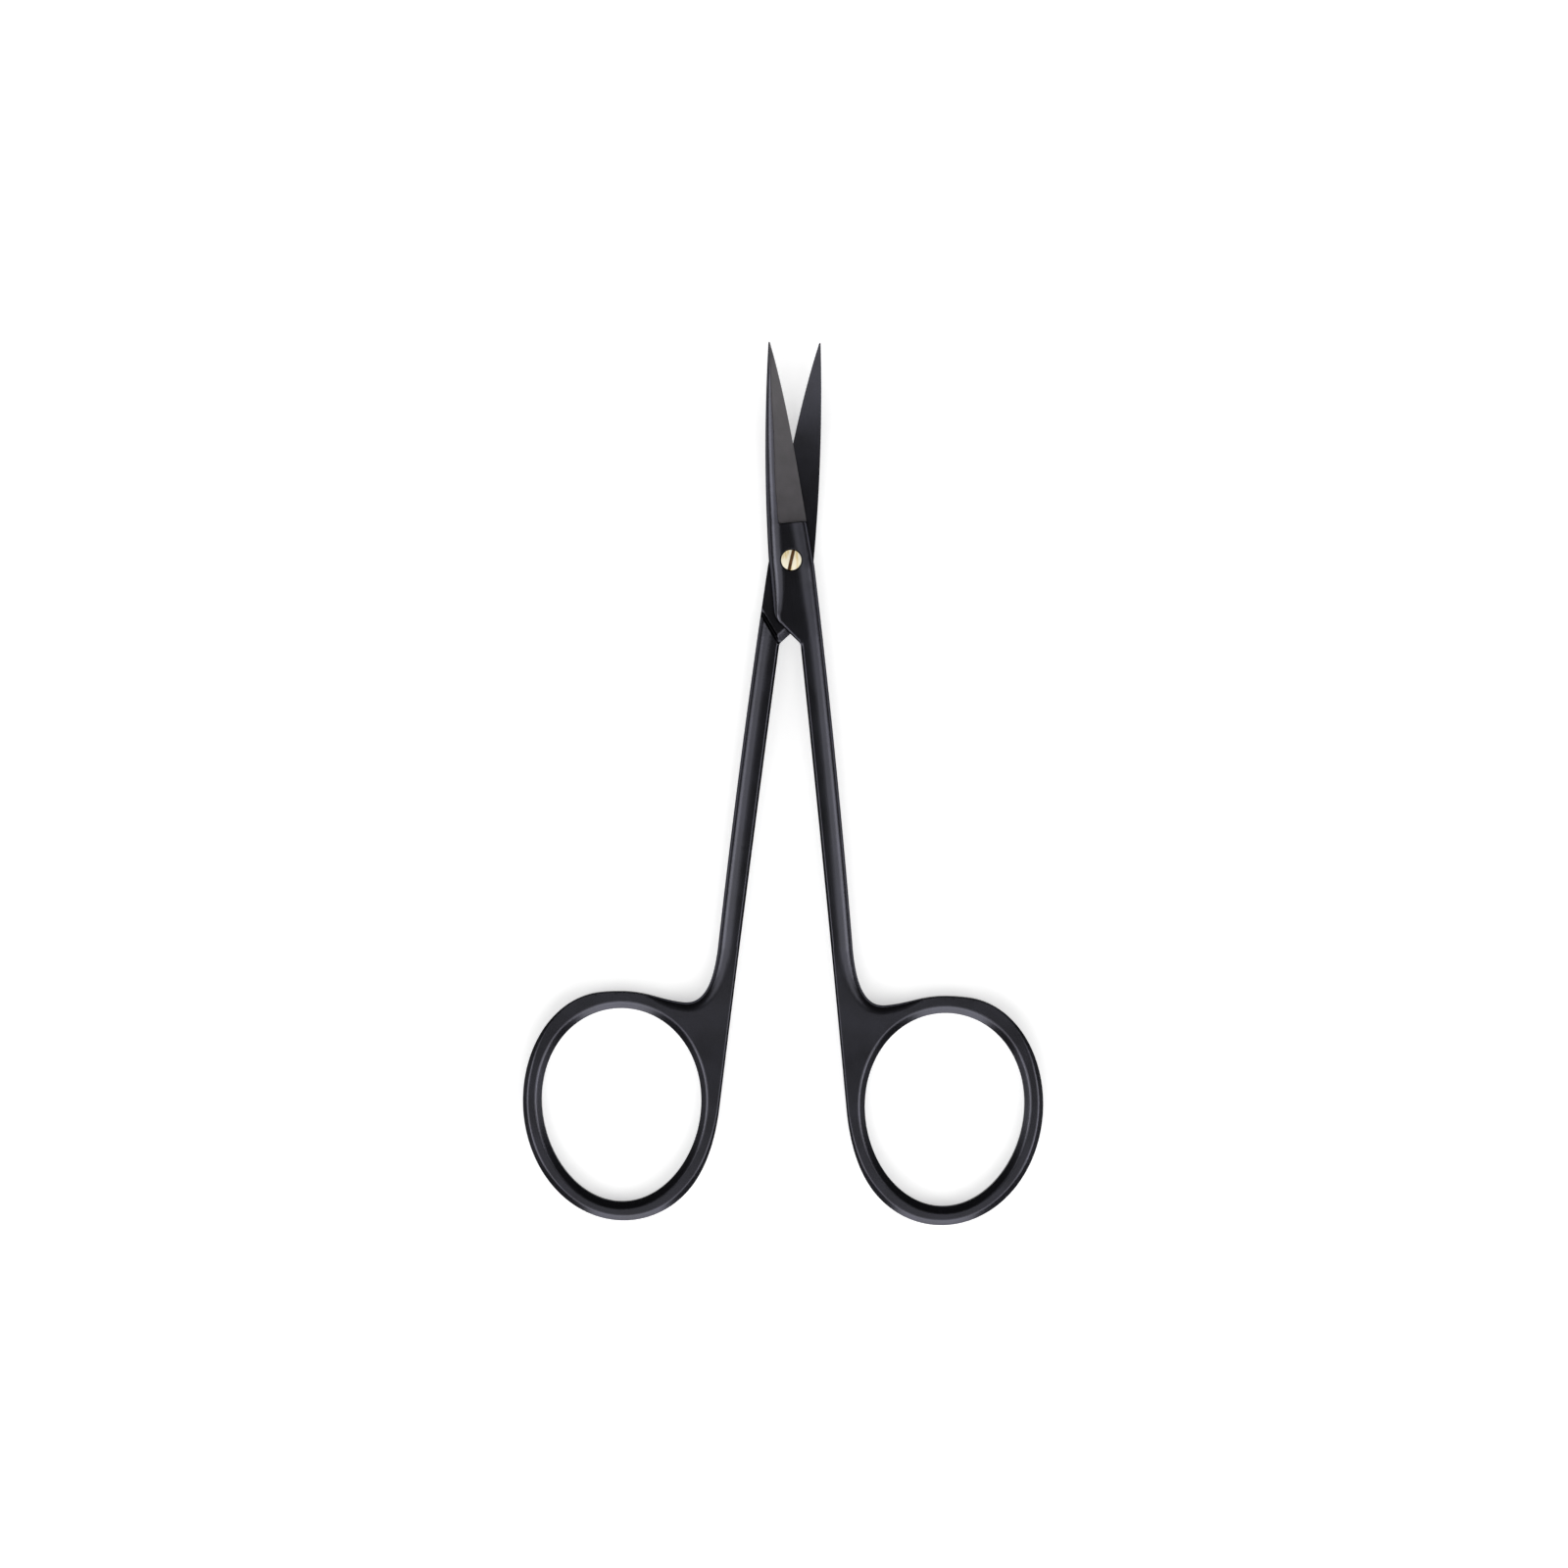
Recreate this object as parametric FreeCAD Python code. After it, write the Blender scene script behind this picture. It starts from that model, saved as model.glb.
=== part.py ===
import FreeCAD, Part
import math
import os

# Curved iris scissors, lying on their underside with the blades a little open.
# Millimetres. +Z is up, +Y points to the tips, and the origin lies on the pivot axis at the
# underside of the joint. A half is drawn closed, with its handle on the +X side and its
# outer face up. The upper half is then swung open, and the lower one is turned over first.

Vector = FreeCAD.Vector
UP = Vector(0, 0, 1)

# Pose: the angle between the halves as they lie, in degrees
REST_OPENING = 13.05

# Thickness of the joint and shanks, of the rings, and of the layers between them
THICKNESS = 3.4
RING_THICKNESS = 2.8
LAP_GAP = 0.04

# Blade: reach from the pivot, outline and curve
BLADE_REACH = 27.92
TIP_X = -0.08
TIP_RADIUS = 0.1
SPINE_BOW = 0.42
EDGE_BOW = 0.34
EDGE_STEP_WIDTH = 2.44
CURVE_START = 5.0
CURVE_RADIUS = 70.0
TIP_THICKNESS = 0.6

# Joint: half width, and where its back corner and the fork between the shanks lie
JOINT_HALF_WIDTH = 2.88
JOINT_FRONT_Y = -1.0
BACK_CORNER_Y = -7.25
BACK_CORNER_RADIUS = 2.2
CROTCH_Y = -10.75
CROTCH_RADIUS = 0.9
SHOULDER_GAP = 0.2
SHOULDER_DRAFT = 0.4
LAP_CHAMFER = 0.6

# Shank: distance of its two sides from the closing plane
INNER_SIDE_TOP = 0.13
INNER_SIDE_MIDDLE = 0.21
INNER_SIDE_RING = 0.1
INNER_SIDE_END_Y = -71.0
OUTER_SIDE_MIDDLE = 3.14
OUTER_SIDE_FORK = 2.93
FORK_Y = -50.5

# Valley where the shank turns into the ring, and how hard the curves beside it pull
VALLEY_X = 6.5
VALLEY_Y = -57.95
FORK_PULL = 4.6
VALLEY_PULL = 2.7
CREST_PULL = 4.0
RING_TOP_PULL = 5.5
FOOT_PULL = 3.6

# Ring: outer oval and finger hole, with how far each leans outwards in degrees
RING_X = 13.13
RING_Y = -72.18
RING_HALF_WIDTH = 12.04
RING_HALF_LENGTH = 14.75
RING_LEAN = 19.7
RING_EGG = -0.044
RING_FOOT_ANGLE = 238.0
RING_TOP_ANGLE = 456.0
HOLE_X = 12.59
HOLE_Y = -71.97
HOLE_HALF_WIDTH = 10.21
HOLE_HALF_LENGTH = 12.39
HOLE_LEAN = 8.2
HOLE_EGG = 0.053

# Edge work
OUTER_ROUND_WIDTH = 2.1
OUTER_ROUND_DEPTH = 1.15
ROUND_END_WIDTH = 0.3
ROUND_END_DEPTH = 0.3
ROUND_MEETING_ANGLE = 6.0
INNER_CHAMFER = 0.35
RIM_BEVEL = 0.6
RIM_BEVEL_DEPTH = 0.55
RIM_BEVEL_FADE_ANGLE = 441.0
RIM_BEVEL_FULL_ANGLE = 395.0
EDGE_BREAK = 0.12
WEB_CHAMFER = 0.25
HOLE_BEVEL = 0.8
HOLE_BEVEL_DEPTH = 0.6
SPINE_BEVEL = 1.0
SPINE_BEVEL_DEPTH = 0.75
SPINE_BEVEL_TIP = 0.3
SPINE_DEPTH_TIP = 0.4
SPINE_TAPER_RATE = 1.6
SPINE_END_SHARE = 0.1

# Scoop that takes the web and ring down from the shank, on both faces
SCOOP_START_Y = -53.8
SCOOP_MIDDLE_X = 3.2
SCOOP_MIDDLE_Y = -56.95
SCOOP_END_Y = -57.5
SCOOP_RUN = 0.9
SCOOP_HEADING = 50.0

# Ground facet on the outer face of the blade
FACET_START = 4.8
FACET_LAND = 0.25
FACET_LAND_TIP = 0.25
FACET_STEP = 0.12
FACET_STEP_TIP = 0.3
FACET_EDGE_THICKNESS = 0.22
FACET_CORNER_RADIUS = 0.6

# Pivot screw and its seats
SCREW_HEAD_RADIUS = 1.3
SCREW_HEAD_HEIGHT = 0.8
SCREW_HEAD_DOME = 0.1
SCREW_RADIUS = 0.9
SLOT_WIDTH = 0.42
SLOT_DEPTH = 0.45
SLOT_ANGLE = 78.0
HEAD_CLEARANCE = 0.14
SEAT_CLEARANCE = 0.03
RUNNING_CLEARANCE = 0.03
THREAD_CLEARANCE = 0.01

# Worked out from the sizes above
MIDDLE = THICKNESS / 2
LAP_FACE = MIDDLE + LAP_GAP / 2
RELIEF = (THICKNESS - RING_THICKNESS) / 2
RING_FACE = THICKNESS - RELIEF
HEAD_UNDERSIDE = THICKNESS - SCREW_HEAD_HEIGHT
MARGIN = 0.3
CUTTER_PAST = 0.3
BEYOND = 40.0


def flat(x, y, z=0.0):
    return Vector(x, y, z)


def arc(start, middle, end):
    return Part.Arc(start, middle, end).toShape()


def bezier(start, start_pull, end_pull, end):
    curve = Part.BezierCurve()
    curve.setPoles([start, start + start_pull, end + end_pull, end])
    return curve.toShape()


def spline(points):
    curve = Part.BSplineCurve()
    curve.interpolate(points)
    return curve.toShape()


def loop(points):
    return Part.makePolygon(points + points[:1])


def smooth(value):
    share = min(max(value, 0.0), 1.0)
    return share * share * (3 - 2 * share)


# Point of an egg-shaped oval: its parameter angle runs anticlockwise from its right side
def oval_point(oval, angle, grow=0.0):
    centre_x, centre_y, half_width, half_length, lean, egg = oval
    turn = math.radians(angle)
    across = (half_width + grow) * (1 + egg * math.sin(turn)) * math.cos(turn)
    along = (half_length + grow) * math.sin(turn)
    tilt = math.radians(lean)
    x = centre_x + across * math.cos(tilt) + along * math.sin(tilt)
    y = centre_y - across * math.sin(tilt) + along * math.cos(tilt)
    return flat(x, y)


RING = (RING_X, RING_Y, RING_HALF_WIDTH, RING_HALF_LENGTH, RING_LEAN, RING_EGG)
HOLE = (HOLE_X, HOLE_Y, HOLE_HALF_WIDTH, HOLE_HALF_LENGTH, HOLE_LEAN, HOLE_EGG)


def oval_arc(oval, start_angle, end_angle, count):
    step = (end_angle - start_angle) / count
    return spline([oval_point(oval, start_angle + step * i) for i in range(count + 1)])


def closed_oval(oval, grow, z, count=16):
    points = [oval_point(oval, 360.0 * i / count, grow) + UP * z for i in range(count)]
    curve = Part.BSplineCurve()
    curve.interpolate(Points=points, PeriodicFlag=True)
    return Part.Wire([curve.toShape()])


def direction(edge, at_end):
    first, last = edge.ParameterRange
    return edge.tangentAt(last if at_end else first)


# Start, middle and end of the arc that rounds the corner between two straight lines
def rounded_corner(before, corner, after, radius):
    back = (before - corner).normalize()
    ahead = (after - corner).normalize()
    half_angle = back.getAngle(ahead) / 2
    reach = radius / math.tan(half_angle)
    inward = (back + ahead).normalize()
    depth = radius / math.sin(half_angle) - radius
    return corner + back * reach, corner + inward * depth, corner + ahead * reach


# Outline of one half, anticlockwise from the tip: down the spine, round the ring and up again
def half_outline():
    down = flat(0, -1)
    left = flat(-1, 0)
    tip_left = flat(TIP_X - TIP_RADIUS, BLADE_REACH - TIP_RADIUS)
    tip_top = flat(TIP_X, BLADE_REACH)
    tip_right = flat(TIP_X + TIP_RADIUS, BLADE_REACH - TIP_RADIUS)
    spine_end = flat(-JOINT_HALF_WIDTH, 0)
    spine_middle = (tip_left + spine_end) * 0.5 + flat(-SPINE_BOW, 0)
    back_corner = flat(-JOINT_HALF_WIDTH, BACK_CORNER_Y)
    crotch = flat(INNER_SIDE_TOP, CROTCH_Y)
    inner_middle = flat(INNER_SIDE_MIDDLE, (CROTCH_Y + INNER_SIDE_END_Y) / 2)
    inner_end = flat(INNER_SIDE_RING, INNER_SIDE_END_Y)
    corner = rounded_corner(spine_end, back_corner, crotch, BACK_CORNER_RADIUS)
    notch = rounded_corner(back_corner, crotch, crotch + down, CROTCH_RADIUS)
    valley = flat(VALLEY_X, VALLEY_Y)
    fork = flat(OUTER_SIDE_FORK, FORK_Y)
    outer_middle = flat(OUTER_SIDE_MIDDLE, (FORK_Y + JOINT_FRONT_Y) / 2)
    joint_front = flat(JOINT_HALF_WIDTH, JOINT_FRONT_Y)
    edge_step = flat(EDGE_STEP_WIDTH, FACET_START)
    edge_middle = (edge_step + tip_right) * 0.5 + flat(EDGE_BOW, 0)
    rim = oval_arc(RING, RING_FOOT_ANGLE, RING_TOP_ANGLE, 12)
    rim_start = rim.valueAt(rim.FirstParameter)
    rim_end = rim.valueAt(rim.LastParameter)
    foot_direction = direction(rim, False)
    top_direction = direction(rim, True)
    return {
        "tip": arc(tip_right, tip_top, tip_left),
        "spine": arc(tip_left, spine_middle, spine_end),
        "back": Part.makeLine(spine_end, corner[0]),
        "corner": arc(*corner),
        "diagonal": Part.makeLine(corner[2], notch[0]),
        "crotch": arc(*notch),
        "inner": arc(notch[2], inner_middle, inner_end),
        "foot": bezier(inner_end, down * FOOT_PULL, foot_direction * -FOOT_PULL, rim_start),
        "rim": rim,
        "crest": bezier(rim_end, top_direction * RING_TOP_PULL, left * -CREST_PULL, valley),
        "fork": bezier(valley, left * VALLEY_PULL, down * FORK_PULL, fork),
        "outer": arc(fork, outer_middle, joint_front),
        "edge": spline([joint_front, edge_step, edge_middle, tip_right]),
    }


OUTLINE = half_outline()


# How far the curved blade has left the joint's plane, and its outer face, at a radius
def rise(radius):
    run = max(radius - CURVE_START, 0.0)
    return CURVE_RADIUS - math.sqrt(CURVE_RADIUS ** 2 - run ** 2)


def outer_face(radius, bend):
    share = max(radius - CURVE_START, 0.0) / (BLADE_REACH - CURVE_START)
    thinning = (THICKNESS - LAP_FACE - TIP_THICKNESS) * share
    return THICKNESS - thinning + bend * rise(radius)


def lap_face(radius, bend):
    return LAP_FACE + bend * rise(radius)


# The half disc in front of the pivot between the lap face and the outer face of the blade.
# It is a turned form about the pivot, so the two blades keep their gap at every opening.
def blade_layer(bend):
    end = BLADE_REACH + MARGIN
    stations = [CURVE_START + (end - CURVE_START) * i / 8 for i in range(9)]
    lower = [Vector(r, 0, lap_face(r, bend)) for r in stations]
    upper = [Vector(r, 0, outer_face(r, bend)) for r in stations]
    inner_low = Vector(0, 0, lower[0].z)
    inner_high = Vector(0, 0, upper[0].z)
    edges = [
        Part.makeLine(inner_low, lower[0]),
        spline(lower),
        Part.makeLine(lower[-1], upper[-1]),
        spline(upper[::-1]),
        Part.makeLine(upper[0], inner_high),
        Part.makeLine(inner_high, inner_low),
    ]
    return Part.Face(Part.Wire(edges)).revolve(Vector(0, 0, 0), UP, 180)


# Places along an outline edge, each with the direction into the material
def places(edge, start, end, count):
    first, last = edge.ParameterRange
    result = []
    for i in range(count):
        share = start + (end - start) * i / (count - 1)
        parameter = first + (last - first) * share
        along = edge.tangentAt(parameter)
        result.append((edge.valueAt(parameter), UP.cross(along).normalize()))
    return result


# Section of a bevel cutter on a top edge, with its slanted side run on past both faces
def bevel_section(place, width, depth, top):
    point, inward = place
    outside = point - inward * (width * CUTTER_PAST)
    high = top + depth * CUTTER_PAST
    low = top - depth * (1 + CUTTER_PAST)
    on_face = point + inward * (width * (1 + CUTTER_PAST)) + UP * high
    return loop([on_face, outside + UP * low, outside + UP * high])


# Section of a rounding cutter: a quarter oval that meets both faces at a slight angle
def rounding_section(place, width, depth, top):
    point, inward = place
    meeting = math.radians(ROUND_MEETING_ANGLE)
    radius = 1 / (math.cos(meeting) - math.sin(meeting))
    centre = radius * math.cos(meeting)

    def at(across, down):
        return point + inward * (width * across) + UP * (top - depth * down)

    curve = []
    for i in range(5):
        turn = meeting + (math.pi / 2 - 2 * meeting) * i / 4
        curve.append(at(centre - radius * math.cos(turn), centre - radius * math.sin(turn)))
    short = CUTTER_PAST * math.sin(meeting)
    long = CUTTER_PAST * math.cos(meeting)
    below = at(-short, 1 + long)
    above = at(1 + long, -short)
    corner = at(-CUTTER_PAST, -CUTTER_PAST)
    return Part.Wire([
        Part.makeLine(below, curve[0]),
        spline(curve),
        Part.makeLine(curve[-1], above),
        Part.makeLine(above, corner),
        Part.makeLine(corner, below),
    ])


def both_faces(cutter):
    return [cutter, cutter.mirror(Vector(0, 0, MIDDLE), UP)]


# Rounding of the outer side, from the blade's step down the shank and out into the valley
def outer_rounding():
    fork = places(OUTLINE["fork"], 0.0, 0.9, 7)
    outer = places(OUTLINE["outer"], 0.0, 0.92, 8)
    edge = places(OUTLINE["edge"], 0.0, 0.24, 3)
    sections = []
    for i, place in enumerate(fork):
        share = smooth(i / (len(fork) - 1))
        width = ROUND_END_WIDTH + (OUTER_ROUND_WIDTH - ROUND_END_WIDTH) * share
        depth = ROUND_END_DEPTH + (OUTER_ROUND_DEPTH - ROUND_END_DEPTH) * share
        sections.append(rounding_section(place, width, depth, THICKNESS))
    for place in outer + edge:
        sections.append(rounding_section(place, OUTER_ROUND_WIDTH, OUTER_ROUND_DEPTH, THICKNESS))
    return Part.makeLoft(sections, True, False)


# Narrow bevel on the closing side of the shank, as far as the scoop
def inner_chamfer():
    span = OUTLINE["inner"].Length
    end = (abs(SCOOP_START_Y) - abs(CROTCH_Y)) / span
    return Part.makeLoft([
        bevel_section(place, INNER_CHAMFER, INNER_CHAMFER, THICKNESS)
        for place in places(OUTLINE["inner"], 0.0, end, 4)
    ], True, False)


# The same on the web, up to where the bevel of the ring begins
def web_chamfer():
    span = OUTLINE["inner"].Length
    start = (abs(SCOOP_START_Y) - abs(CROTCH_Y)) / span
    return Part.makeLoft([
        bevel_section(place, WEB_CHAMFER, WEB_CHAMFER, RING_FACE)
        for place in places(OUTLINE["inner"], start, 1.0, 3)
    ], True, False)


# Bevel round the outside of the ring, from the foot of the web to where the crest begins
def rim_bevel():
    foot = places(OUTLINE["foot"], 0.0, 0.75, 4)
    rim = places(OUTLINE["rim"], 0.0, 1.0, 17)
    crest = places(OUTLINE["crest"], 0.15, 0.95, 5)
    sections = []
    for i, place in enumerate(foot):
        share = smooth(i / len(foot))
        width = WEB_CHAMFER + (RIM_BEVEL - WEB_CHAMFER) * share
        depth = WEB_CHAMFER + (RIM_BEVEL_DEPTH - WEB_CHAMFER) * share
        sections.append(bevel_section(place, width, depth, RING_FACE))
    for i, place in enumerate(rim):
        angle = RING_FOOT_ANGLE + (RING_TOP_ANGLE - RING_FOOT_ANGLE) * i / (len(rim) - 1)
        fade = RIM_BEVEL_FADE_ANGLE - RIM_BEVEL_FULL_ANGLE
        share = smooth((RIM_BEVEL_FADE_ANGLE - angle) / fade)
        width = EDGE_BREAK + (RIM_BEVEL - EDGE_BREAK) * share
        depth = EDGE_BREAK + (RIM_BEVEL_DEPTH - EDGE_BREAK) * share
        sections.append(bevel_section(place, width, depth, RING_FACE))
    for place in crest:
        sections.append(bevel_section(place, EDGE_BREAK, EDGE_BREAK, RING_FACE))
    return Part.makeLoft(sections, True, False)


def hole_bevel():
    low = RING_FACE - HOLE_BEVEL_DEPTH * (1 + CUTTER_PAST)
    high = RING_FACE + HOLE_BEVEL_DEPTH * CUTTER_PAST
    small = closed_oval(HOLE, -HOLE_BEVEL * CUTTER_PAST, low)
    large = closed_oval(HOLE, HOLE_BEVEL * (1 + CUTTER_PAST), high)
    return Part.makeLoft([small, large], True, True)


# The scoop is everything above the ring's face and beyond a curved line across the web
def web_scoop():
    start = flat(-MARGIN, SCOOP_START_Y, RING_FACE)
    middle = flat(SCOOP_MIDDLE_X, SCOOP_MIDDLE_Y, RING_FACE)
    end = flat(VALLEY_X + 1, SCOOP_END_Y, RING_FACE)
    far_right = flat(BEYOND, SCOOP_END_Y + BEYOND / 2, RING_FACE)
    low_right = flat(BEYOND, -3 * BEYOND, RING_FACE)
    low_left = flat(-BEYOND, -3 * BEYOND, RING_FACE)
    far_left = flat(-BEYOND, SCOOP_START_Y, RING_FACE)
    border = [
        arc(start, middle, end),
        Part.makeLine(end, far_right),
        Part.makeLine(far_right, low_right),
        Part.makeLine(low_right, low_left),
        Part.makeLine(low_left, far_left),
        Part.makeLine(far_left, start),
    ]
    face = Part.Face(Part.Wire(border))
    slope = SCOOP_RUN / RELIEF
    heading = math.radians(SCOOP_HEADING)
    across = flat(math.cos(heading), math.sin(heading))
    return face.extrude(across * slope + UP)


# A size that grows from its share at the tip to its full value at the joint
def grown(full, tip_share, share):
    return full * (tip_share + (1 - tip_share) * share)


# How far along the blade a radius lies, from the tip to where the curve starts
def blade_share(radius):
    return min(max((BLADE_REACH - radius) / (BLADE_REACH - CURVE_START), 0.0), 1.0)


def spine_bevel_width(share):
    return grown(SPINE_BEVEL, SPINE_BEVEL_TIP, smooth(SPINE_TAPER_RATE * share))


# Bevel of the spine, from the tip to the back corner, fading out along the diagonal
def spine_bevel(bend):
    spine = places(OUTLINE["spine"], 0.02, 1.0, 15)
    back = places(OUTLINE["back"], 0.35, 1.0, 3)
    corner = places(OUTLINE["corner"], 0.5, 1.0, 2)
    diagonal = places(OUTLINE["diagonal"], 0.4, 0.9, 2)
    sections = []
    for place in spine:
        radius = place[0].Length
        share = blade_share(radius)
        depth = grown(SPINE_BEVEL_DEPTH, SPINE_DEPTH_TIP, share)
        top = outer_face(radius, bend)
        sections.append(bevel_section(place, spine_bevel_width(share), depth, top))
    for place in back + corner:
        sections.append(bevel_section(place, SPINE_BEVEL, SPINE_BEVEL_DEPTH, THICKNESS))
    for i, place in enumerate(diagonal):
        size = grown(1.0, SPINE_END_SHARE, 1 - (i + 1) / len(diagonal))
        sections.append(bevel_section(place, SPINE_BEVEL * size, SPINE_BEVEL_DEPTH * size, THICKNESS))
    return Part.makeLoft(sections, True, False)


# X of an outline edge of the blade at a height along it
def blade_x(name, y):
    line = Part.makeLine(flat(-BEYOND, y), flat(BEYOND, y))
    return OUTLINE[name].distToShape(line)[1][0][0].x


# Ground facet: a hollow that starts at a step and slopes down to the cutting edge
def facet_cutter(bend):
    sections = []
    count = 6
    end = BLADE_REACH - 2 * TIP_RADIUS
    for i in range(count):
        y = FACET_START + (end - FACET_START) * i / (count - 1)
        share = blade_share(y)
        border = spine_bevel_width(share) + FACET_LAND * share
        left = blade_x("spine", y) + border * min(1.0, FACET_LAND_TIP + share)
        right = blade_x("edge", y)
        step = grown(FACET_STEP, FACET_STEP_TIP, share)
        left_low = outer_face(math.hypot(left, y), bend) - step
        right_low = lap_face(math.hypot(right, y), bend) + FACET_EDGE_THICKNESS
        slope = (right_low - left_low) / (right - left)
        past = right + MARGIN
        high = outer_face(y, bend) + 2 * MARGIN
        sections.append(loop([
            Vector(left, y, left_low),
            Vector(past, y, right_low + slope * MARGIN),
            Vector(past, y, high),
            Vector(left, y, high),
        ]))
    cutter = Part.makeLoft(sections, True, False)
    upright = [
        edge for edge in cutter.Edges
        if abs(edge.BoundBox.YMin - FACET_START) < 1e-6 and edge.BoundBox.YLength < 1e-6
        and edge.BoundBox.XLength < 1e-6 and edge.BoundBox.XMax < 0
    ]
    return cutter.makeFillet(FACET_CORNER_RADIUS, upright)


# The lap: everything below the lap face in front of the shoulder, whose wall leans back
def lap_cutter():
    along = flat(JOINT_HALF_WIDTH + INNER_SIDE_TOP, BACK_CORNER_Y - CROTCH_Y).normalize()
    outward = flat(along.y, -along.x)
    foot = flat(-INNER_SIDE_TOP, CROTCH_Y) + outward * SHOULDER_GAP
    near = foot - along * BEYOND
    far = foot + along * BEYOND
    back = outward * -BEYOND
    face = Part.Face(loop([near, far, far + back, near + back]))
    face.translate(UP * LAP_FACE)
    lean = outward * (SHOULDER_DRAFT / LAP_FACE)
    depth = LAP_FACE + MARGIN
    return face.extrude((lean - UP) * depth)


# Small bevel of the lap face along the diagonal at the back of the joint
def lap_bevel():
    sections = [
        bevel_section(place, LAP_CHAMFER, LAP_CHAMFER, THICKNESS - LAP_FACE)
        for place in places(OUTLINE["diagonal"], -0.2, 1.0, 3)
    ]
    bevel = Part.makeLoft(sections, True, True)
    return bevel.mirror(Vector(0, 0, MIDDLE), UP)


def half(bend):
    outline = Part.Wire(list(OUTLINE.values()))
    blank = Part.Face(outline).extrude(UP * (3 * THICKNESS))
    blank.translate(UP * -THICKNESS)
    finger_hole = Part.Face(closed_oval(HOLE, 0.0, -THICKNESS)).extrude(UP * (3 * THICKNESS))
    behind = Part.makeBox(2 * BEYOND, 3 * BEYOND, THICKNESS, flat(-BEYOND, -3 * BEYOND))
    handle = blank.common(behind).cut(finger_hole).cut(lap_cutter())
    blade = blank.common(blade_layer(bend))
    body = handle.fuse(blade).removeSplitter()
    cutters = []
    for edge_work in (web_scoop, outer_rounding, inner_chamfer, web_chamfer, rim_bevel, hole_bevel):
        cutters += both_faces(edge_work())
    cutters += [lap_bevel(), spine_bevel(bend), facet_cutter(bend)]
    for cutter in cutters:
        body = body.cut(cutter)
    return body


def upright(radius, low, high):
    return Part.makeCylinder(radius, high - low, Vector(0, 0, low))


# The upper half swings open to the left and takes the screw's head and its plain neck
def upper_half():
    seat = HEAD_UNDERSIDE - SEAT_CLEARANCE
    body = half(1).cut(upright(SCREW_HEAD_RADIUS + HEAD_CLEARANCE, seat, THICKNESS + MARGIN))
    body = body.cut(upright(SCREW_RADIUS + RUNNING_CLEARANCE, 0, THICKNESS))
    body.rotate(Vector(0, 0, 0), UP, REST_OPENING / 2)
    return body


# The lower half is the same forging turned over, with its blade bent the other way
def lower_half():
    body = half(-1)
    body.rotate(Vector(0, 0, MIDDLE), Vector(0, 1, 0), 180)
    body = body.cut(upright(SCREW_RADIUS + THREAD_CLEARANCE, -MARGIN, THICKNESS))
    body.rotate(Vector(0, 0, 0), UP, -REST_OPENING / 2)
    return body


# The screw ends flush with the underside, and its slotted head is slightly domed
def pivot_screw():
    crown = THICKNESS + SCREW_HEAD_DOME
    ball = (SCREW_HEAD_RADIUS ** 2 + SCREW_HEAD_DOME ** 2) / (2 * SCREW_HEAD_DOME)
    dome = Part.makeSphere(ball, Vector(0, 0, crown - ball))
    head = upright(SCREW_HEAD_RADIUS, HEAD_UNDERSIDE, crown).common(dome)
    slot = Part.makeBox(4 * SCREW_HEAD_RADIUS, SLOT_WIDTH, SLOT_DEPTH + SCREW_HEAD_DOME)
    slot.translate(Vector(-2 * SCREW_HEAD_RADIUS, -SLOT_WIDTH / 2, THICKNESS - SLOT_DEPTH))
    slot.rotate(Vector(0, 0, 0), UP, SLOT_ANGLE)
    return upright(SCREW_RADIUS, 0, HEAD_UNDERSIDE).fuse(head).cut(slot).removeSplitter()


os.makedirs("parts", exist_ok=True)
for name, make in (
    ("upper_half", upper_half),
    ("lower_half", lower_half),
    ("pivot_screw", pivot_screw),
):
    make().exportStep(os.path.join("parts", name + ".step"))
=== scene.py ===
import bpy
import math
import numpy as np
from mathutils import Matrix, Vector
from mathutils.geometry import delaunay_2d_cdt


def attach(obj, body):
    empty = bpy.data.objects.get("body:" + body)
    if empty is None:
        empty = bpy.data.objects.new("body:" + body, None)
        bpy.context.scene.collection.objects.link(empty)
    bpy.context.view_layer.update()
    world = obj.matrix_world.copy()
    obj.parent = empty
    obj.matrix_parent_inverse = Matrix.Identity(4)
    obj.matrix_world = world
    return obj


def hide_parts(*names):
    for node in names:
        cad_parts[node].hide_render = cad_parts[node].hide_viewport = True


# Curved iris scissors on a white floor, seen from straight above. Metres, in the CAD's frame.
# A half is drawn closed, with its handle on the +X side and its outer face up. Both halves
# share one plan of points and triangles, and each face of a half is a height over that plan.

# Pose: the angle between the halves as they lie, in degrees
REST_OPENING = 13.05

# Camera: what it looks at, its height and roll, and the width that it sees at the middle layer
CAMERA_CENTRE = (-0.000495, -0.028667)
CAMERA_HEIGHT = 0.8
CAMERA_ROLL = 0.865
FRAME_WIDTH = 0.20065
MIDDLE_LAYER = 0.0031
SENSOR_WIDTH = 36.0

# Thickness of the joint and shanks and of the rings, and the gap between the halves
THICKNESS = 0.0034
RING_THICKNESS = 0.0028
LAP_GAP = 0.00004
THINNING_START_Y = -0.050
THINNING_END_Y = -0.064

# Blade: reach from the pivot, outline and curve
BLADE_REACH = 0.0279
TIP_X = -0.00008
TIP_RADIUS = 0.0001
SPINE_BOW = 0.00042
EDGE_BOW = 0.00034
EDGE_STEP = (0.00244, 0.0048)
CURVE_START = 0.005
CURVE_RADIUS = 0.070
TIP_THICKNESS = 0.0006

# Joint: half width, back corner, and the crotch between the shanks
JOINT_HALF_WIDTH = 0.00288
JOINT_FRONT_Y = -0.001
BACK_CORNER_Y = -0.00725
BACK_CORNER_RADIUS = 0.0022
CROTCH_Y = -0.01075
CROTCH_RADIUS = 0.0009

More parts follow.
